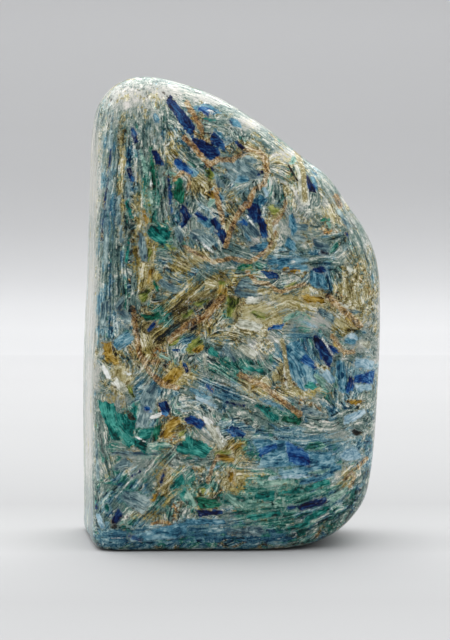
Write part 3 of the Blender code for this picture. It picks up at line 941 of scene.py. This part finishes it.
class Rock:
    """The places and chance values that every colour of the rock is read from."""

    def __init__(self, shader):
        self.place = shader.scale(shader.add("TexCoord").outputs["Object"], 1.0 / MM)
        self.grain, self.domain, self.domain_edge, self.hold = grain_space(shader, self.place)
        self.blade = shader.cells(shader.stretch(self.grain, BLADE))
        self.lath = shader.cells(shader.stretch(self.grain, LATH))
        self.sliver = shader.cells(shader.stretch(self.grain, SLIVER))
        self.brush = shader.streaks(shader.stretch(self.grain, BRUSH), 1.0, 4.0)
        self.thread = shader.streaks(shader.stretch(self.grain, THREAD), 1.0, 2.0)
        self.cloud = shader.streaks(self.place, CLOUD_WAVES, 4.0)
        stir = shader.noise(self.place, STIR_WAVES, output="Color")
        stirred = shader.vector("ADD", self.place, shader.scale(stir, GRAIN_STIR))
        self.crumb = shader.cells(shader.scale(stirred, 1.0 / GRAIN_SIZE))
        hairs = shader.noise(shader.stretch(self.grain, HAIR), 1.0, 1.0, 0.5)
        self.pale_hair = shader.between(shader.apart(hairs, HAIR_LEVEL), *HAIR_EDGES)
        self.patch = shader.noise(self.place, PATCH_WAVES, 3.0, 0.6)
        self.rag = shader.sum("SUBTRACT", shader.noise(self.place, RAG_WAVES, 3.0, 0.65), 0.5)
        stroke = shader.between(self.brush[0], 0.44, 0.56)
        self.streaky = shader.mixture(0.0, [
            (self.brush[0], 0.5, 1.5), (stroke, 0.5, 0.10), (self.thread[0], 0.5, 1.5),
            (self.pale_hair, 0.1, 0.20), (self.lath[0], 0.5, 0.12), (self.sliver[0], 0.5, 0.22),
        ])
        strength = shader.mixture(1.0, [(self.blade[2], 0.5, 0.7), (self.cloud[0], 0.5, 1.5)])
        dust = shader.noise(self.place, DUST_WAVES, 1.0)
        self.tone = shader.mixture(0.555, [
            (shader.sum("MULTIPLY", self.streaky, strength), 0.0, 1.0), (self.blade[0], 0.5, 0.20),
            (self.crumb[0], 0.5, 0.16), (self.rag, 0.0, 0.40), (self.domain[1], 0.5, 0.16),
            (self.cloud[0], 0.5, 1.0), (dust, 0.5, 0.6),
        ])
        self.grit = shader.mixture(0.5, [
            (self.crumb[0], 0.5, 0.48), (self.rag, 0.0, 1.5), (self.thread[0], 0.5, 1.1),
            (self.cloud[0], 0.5, 0.5), (dust, 0.5, 0.8),
        ])


def ground_colour(shader, rock, grit):
    """The rock between the placed crystals: grey-green, turning blue, tan and green in places."""
    # The pale and calm tints also paint sheen: lighter, flatter rock along the left edge, the right rim
    # and the dome.
    contrast = shader.mixture(1.0, [("pale_and_sheen", 0.0, -0.72), ("calm_and_sheen", 0.0, -0.5)])
    # The deep tint also paints shade: darker rock along the bottom band.
    tone = shader.mixture(0.0, [
        (shader.sum("MULTIPLY", rock.tone, contrast), 0.0, 1.0), ("pale_and_sheen", 0.0, 0.70),
        ("calm_and_sheen", 0.0, 0.22), ("deep", 0.0, -0.34),
    ])
    colour = shader.ramp(tone, GREY_RAMP)
    # Where the pale tint paints sheen, the rock turns to the flat pale colours
    chalk_and_sheen = shader.between(shader.mixture(0.0, [("pale_and_sheen", 0.0, 1.0), (rock.rag, 0.0, 0.8)]), 0.15, 0.7)
    colour = shader.blend(chalk_and_sheen, colour, shader.ramp(tone, PALE_AND_SHEEN_RAMP))
    blue = shader.mixture(-0.26, [
        (rock.cloud[1], 0.5, 2.0), (rock.brush[1], 0.5, 1.8), (rock.blade[1], 0.5, 0.35),
        (rock.domain[2], 0.5, 0.35), ("warm", 0.0, -0.8), ("pale_and_sheen", 0.0, -0.4), ("blue", 0.0, 0.9),
    ])
    colour = shader.blend(shader.between(blue, -0.10, 0.16), colour, shader.ramp(tone, BLUE_RAMP))
    green = shader.mixture(-0.30, [
        (rock.cloud[2], 0.5, 1.8), (rock.brush[2], 0.5, 1.7), (rock.blade[2], 0.5, 0.35),
        ("green", 0.0, 1.2), ("pale_and_sheen", 0.0, -0.5),
    ])
    colour = shader.blend(shader.between(green, -0.04, 0.18), colour, shader.ramp(tone, GREEN_RAMP))
    warm = shader.mixture(-0.30, [
        (rock.thread[1], 0.5, 1.0), (rock.cloud[1], 0.5, -1.8), (rock.brush[1], 0.5, -1.1),
        (rock.crumb[1], 0.5, 0.3), ("warm", 0.0, 1.4), ("blue", 0.0, -0.45),
    ])
    golden = shader.mixture(0.0, [
        (rock.patch, 0.5, 1.8), (rock.thread[2], 0.5, 1.0), (rock.crumb[1], 0.5, 0.15),
        ("pale_and_sheen", 0.0, -0.4), ("gritty", 0.0, -0.2),
    ])
    tan = shader.blend(
        shader.between(golden, -0.06, 0.20, 0.0, 0.75),
        shader.ramp(tone, WARM_RAMP), shader.ramp(tone, OCHRE_RAMP),
    )
    colour = shader.blend(shader.between(warm, -0.08, 0.24), colour, tan)
    gritty = shader.mixture(0.0, [
        ("gritty", 0.0, 1.0), (rock.rag, 0.0, 0.9), (rock.brush[0], 0.5, 0.8),
    ])
    return shader.blend(shader.between(gritty, 0.38, 0.70), colour, grit), tone


def gritty_colour(shader, rock):
    """Loose-looking grains of tan, cream and rust, which fill seams and veins."""
    # Here too the pale tint lifts the painted sheen and the deep tint darkens the painted shade along the
    # bottom.
    lifted = shader.mixture(0.0, [(rock.grit, 0.0, 1.0), ("pale_and_sheen", 0.0, 0.4), ("deep", 0.0, -0.30)])
    rusty = shader.mixture(-0.12, [
        (rock.crumb[1], 0.5, 0.5), (rock.patch, 0.5, 1.6), (rock.thread[2], 0.5, 1.2), ("pale_and_sheen", 0.0, -0.5),
    ])
    colour = shader.blend(
        shader.between(rusty, -0.15, 0.15),
        shader.ramp(lifted, WARM_RAMP), shader.ramp(lifted, RUST_RAMP),
    )
    greyish = shader.mixture(0.0, [(rock.crumb[2], 0.0, 0.5), (rock.cloud[2], 0.5, 1.6)])
    return shader.blend(shader.between(greyish, 0.22, 0.42), colour, shader.ramp(lifted, GREY_RAMP))


def add_seams(shader, rock, colour, grit):
    """Gritty seams between domains, broken and of uneven width."""
    ragged = shader.mixture(0.0, [(rock.domain_edge, 0.0, 1.0), (rock.rag, 0.0, 0.35)])
    seam = shader.between(ragged, 0.12, 0.02)
    present = shader.between(shader.noise(rock.place, SEAM_WAVES, 1.0), 0.48, 0.62)
    free = shader.sum("SUBTRACT", 1.0, rock.hold)
    share = shader.sum("MULTIPLY", shader.sum("MULTIPLY", seam, present), free)
    return shader.blend(share, colour, grit)


# Where a crystal's dark, middle and light colours lie on its tones, then its rim's screen colour
CRYSTAL_STOPS = (0.10, 0.46, 1.0)
RIM_COLOUR = (190, 194, 180)
RIM_STRENGTH = 0.22


def add_crystals(shader, rock, colour):
    """Each colour's crystals, among them painted glints and painted pit shade. Their rims are ragged,
    sharp in places and soft in others.
    """
    lit = shader.mixture(0.43, [
        (rock.streaky, 0.0, 0.75), ("fade", 0.0, 0.16),
        (shader.noise(rock.place, LIGHT_WAVES), 0.5, 1.0), (rock.rag, 0.0, 0.4),
    ])
    softness = shader.between(rock.cloud[2], 0.40, 0.60, 0.05, 0.50)
    rim_present = shader.between(shader.noise(rock.place, RIM_WAVES, 1.0), 0.50, 0.60)
    for name, _, ragged, solid, *shades, _ in LAYERS:
        body = shader.between(rock.brush[2], 0.34, 0.48, solid, 1.0)
        depth = shader.mixture(0.0, [
            (name, 0.0, 1.0), (rock.rag, 0.0, 1.3 * ragged),
            (rock.brush[1], 0.5, 1.3 * ragged), (rock.sliver[1], 0.5, 0.2 * ragged),
        ])
        rim = shader.sum("MULTIPLY", shader.between(depth, -0.30, -0.14), rim_present)
        colour = shader.blend(shader.sum("MULTIPLY", rim, RIM_STRENGTH), colour, linear(*RIM_COLOUR))
        edge = shader.sum("MULTIPLY", softness, ragged)
        share = shader.sum("MULTIPLY", shader.between(depth, -0.06, edge), body)
        colour = shader.blend(share, colour, shader.ramp(lit, list(zip(CRYSTAL_STOPS, shades))))
    return colour


# From where to where a vein's edge fades in, in millimetres, how much a full vein covers, and how
# much of a rusty one is streaked rather than loose grains
VEIN_EDGE = (-0.30, 0.20)
VEIN_STRENGTH = 0.92
RUST_SHARE = 0.6


def add_veins(shader, rock, colour, grit):
    """Ragged veins: rusty ones over loose grains, and cream ones."""
    inner = {
        "rust": shader.blend(RUST_SHARE, grit, shader.ramp(rock.tone, RUST_RAMP)),
        "cream_vein": shader.ramp(rock.grit, WARM_RAMP[2:]),
    }
    for name, _, ragged in VEINS:
        depth = shader.mixture(0.0, [
            (name, 0.0, 1.0), (rock.rag, 0.0, ragged), (rock.brush[1], 0.5, 0.5 * ragged),
        ])
        share = shader.sum("MULTIPLY", shader.between(depth, *VEIN_EDGE), VEIN_STRENGTH)
        colour = shader.blend(share, colour, inner[name])
    return colour


# Screen colours of the single slivers, partly painted glints and painted shadow specks
WHITE_SPECK_AND_GLINT = (226, 226, 212)
BLACK_SPECK_AND_SHADOW = (12, 20, 24)


def add_specks(shader, rock, colour):
    """Single slivers, nearly white ones that are partly painted glints and nearly black ones that are
    partly painted shadow specks, outside the placed crystals.
    """
    chance = shader.mixture(0.0, [(rock.sliver[2], 0.0, 1.0), (rock.rag, 0.0, 0.5)])
    free = shader.mixture(1.0, [("settled", 0.0, -0.8), ("pale_and_sheen", 0.0, -0.6)])
    white = shader.sum("MULTIPLY", shader.between(chance, 0.95, 1.0, 0.0, 0.5), free)
    black_and_shadow = shader.sum("MULTIPLY", shader.between(chance, 0.10, 0.02, 0.0, 0.8), free)
    colour = shader.blend(white, colour, linear(*WHITE_SPECK_AND_GLINT))
    return shader.blend(black_and_shadow, colour, linear(*BLACK_SPECK_AND_SHADOW))


# The polish: roughness of the dark and the light rock, then what is the same all over. The bump's
# height is in millimetres.
ROUGHNESS = (0.17, 0.26)
IOR = 1.5
SPECULAR = 0.16
BUMP_STRENGTH = 0.25
BUMP_HEIGHT = 0.03


def stone_material():
    """Fibrous, bladed rock whose colours come from the stored crystals, veins and tints."""
    shader = Shader(bpy.data.materials.new("kyanite_polished"))
    rock = Rock(shader)
    grit = gritty_colour(shader, rock)
    colour, tone = ground_colour(shader, rock, grit)
    colour = add_seams(shader, rock, colour, grit)
    colour = add_crystals(shader, rock, colour)
    colour = add_veins(shader, rock, colour, grit)
    colour = add_specks(shader, rock, colour)

    shader.fill(shader.surface.inputs["Base Color"], colour)
    shader.fill(shader.surface.inputs["Roughness"], shader.between(tone, 0.2, 0.9, *ROUGHNESS))
    shader.surface.inputs["IOR"].default_value = IOR
    shader.surface.inputs["Specular IOR Level"].default_value = SPECULAR
    bump = shader.add("Bump", {
        "Height": tone, "Strength": BUMP_STRENGTH, "Distance": BUMP_HEIGHT * MM,
    })
    shader.fill(shader.surface.inputs["Normal"], bump.outputs["Normal"])
    return shader.owner


# The stage is one sheet of paper: a floor that sweeps up into a wall. Lengths in millimetres.
STAGE_HALF_WIDTH = 2600.0
STAGE_FRONT_Y = -1600.0
SWEEP_START_Y = 900.0
SWEEP_RADIUS = 700.0
WALL_TOP = 2600.0
SWEEP_STEPS = 60
PAPER_ROUGHNESS = 0.9

# Greys of the paper, by distance back along the floor and then by height up the sweep. They are partly
# painted light and shade: they copy how the light falls across the paper, lighter just in front of the
# stone, darker further in front and just behind it, and darker midway up the sweep.
FLOOR_GREYS_AND_SHADE = [
    (STAGE_FRONT_Y, 0.335), (-124, 0.322), (-96, 0.32), (-64, 0.352), (-27, 0.405), (10, 0.355),
    (70, 0.29), (135, 0.30), (214, 0.313), (316, 0.325), (451, 0.355), (636, 0.425),
    (SWEEP_START_Y, 0.575),
]
SWEEP_GREYS_AND_SHADE = [
    (0, 0.61), (15, 0.66), (36, 0.65), (60, 0.59), (86, 0.55), (113, 0.52), (142, 0.505),
    (171, 0.495), (231, 0.505), (294, 0.535), (360, 0.57), (WALL_TOP, 0.60),
]


def stage_profile():
    """(depth, height, grey with painted light and shade) of points along the paper from front to top."""
    floor = [(y, 0.0, grey_and_shade) for y, grey_and_shade in FLOOR_GREYS_AND_SHADE]
    turns = [math.pi / 2 * step / SWEEP_STEPS for step in range(1, SWEEP_STEPS + 1)]
    sweep = [
        (SWEEP_START_Y + SWEEP_RADIUS * math.sin(turn), SWEEP_RADIUS * (1 - math.cos(turn)))
        for turn in turns
    ]
    sweep.append((SWEEP_START_Y + SWEEP_RADIUS, WALL_TOP))
    heights, greys_and_shade = zip(*SWEEP_GREYS_AND_SHADE)
    return floor + [(y, z, float(np.interp(z, heights, greys_and_shade))) for y, z in sweep]


def stage_sheet():
    """The paper that the stone stands on, with its grey and painted light and shade stored on it."""
    profile = stage_profile()
    points = [
        (side * STAGE_HALF_WIDTH * MM, y * MM, z * MM) for y, z, _ in profile for side in (-1, 1)
    ]
    faces = [(2 * n, 2 * n + 1, 2 * n + 3, 2 * n + 2) for n in range(len(profile) - 1)]
    mesh = bpy.data.meshes.new("stage")
    mesh.from_pydata(points, [], faces)
    mesh.shade_smooth()
    grey_and_shade = mesh.attributes.new("grey_and_shade", "FLOAT", "POINT")
    grey_and_shade.data.foreach_set("value", np.repeat([shade for _, _, shade in profile], 2))
    shader = Shader(bpy.data.materials.new("stage_paper"))
    stored = shader.stored("grey_and_shade")
    shader.fill(shader.surface.inputs["Base Color"], shader.join(stored, stored, stored))
    shader.surface.inputs["Roughness"].default_value = PAPER_ROUGHNESS
    mesh.materials.append(shader.owner)
    stage = bpy.data.objects.new("stage", mesh)
    bpy.context.scene.collection.objects.link(stage)


# The sky: how much higher it starts in front, where it starts and is full, its dark and bright
SKY_LEAN = 0.5
SKY_EDGE = (0.25, 0.55)
SKY_STRENGTHS = (0.50, 2.0)
SKY_COLOUR = (0.97, 0.98, 1.0, 1.0)

# Light panels: name, place, what they face, width and height, all in millimetres, and power
PANELS = [
    ("top_panel", (-50, 330, 700), (-10, 0, 120), (1300, 700), 9.0),
    ("left_panel", (-1000, 250, 500), (0, 0, 80), (1000, 900), 2.5),
    ("right_panel", (1000, 350, 500), (0, 0, 80), (900, 900), 1.2),
]


def soft_light(name, place, aim, size, power):
    """One rectangular panel of light."""
    light = bpy.data.lights.new(name, "AREA")
    light.shape = "RECTANGLE"
    light.size = size[0] * MM
    light.size_y = size[1] * MM
    light.energy = power
    lamp = bpy.data.objects.new(name, light)
    lamp.location = Vector(place) * MM
    lamp.rotation_mode = "QUATERNION"
    lamp.rotation_quaternion = (Vector(aim) - Vector(place)).to_track_quat("-Z", "Y")
    bpy.context.scene.collection.objects.link(lamp)


def light_scene():
    """A pale sky overhead that reaches lower behind the stone than in front, and soft panels."""
    world = bpy.data.worlds.new("studio")
    bpy.context.scene.world = world
    world.use_nodes = True
    sky = Shader(world)
    direction = sky.axes(sky.add("TexCoord").outputs["Generated"])
    height = sky.sum("MULTIPLY_ADD", direction[1], SKY_LEAN, direction[2])
    light = sky.between(height, *SKY_EDGE, *SKY_STRENGTHS)
    background = world.node_tree.nodes["Background"].inputs
    sky.fill(background["Strength"], light)
    background["Color"].default_value = SKY_COLOUR
    for panel in PANELS:
        soft_light(*panel)


def place_camera():
    """The camera. Its lens sets how many millimetres a pixel spans."""
    camera = bpy.data.cameras.new("camera")
    camera.sensor_width = SENSOR
    camera.lens = focal_pixels() * SENSOR / max(PICTURE)
    camera.clip_start = CLIP_START
    camera.clip_end = CLIP_END
    rig = bpy.data.objects.new("camera", camera)
    place, _, _, forward = camera_axes()
    rig.location = Vector(place) * MM
    rig.rotation_mode = "QUATERNION"
    rig.rotation_quaternion = Vector(forward).to_track_quat("-Z", "Y")
    bpy.context.scene.collection.objects.link(rig)
    bpy.context.scene.camera = rig


skin_object(dressed_skin(), stone_material())
stage_sheet()
light_scene()
place_camera()
bpy.context.scene.view_settings.view_transform = "Standard"
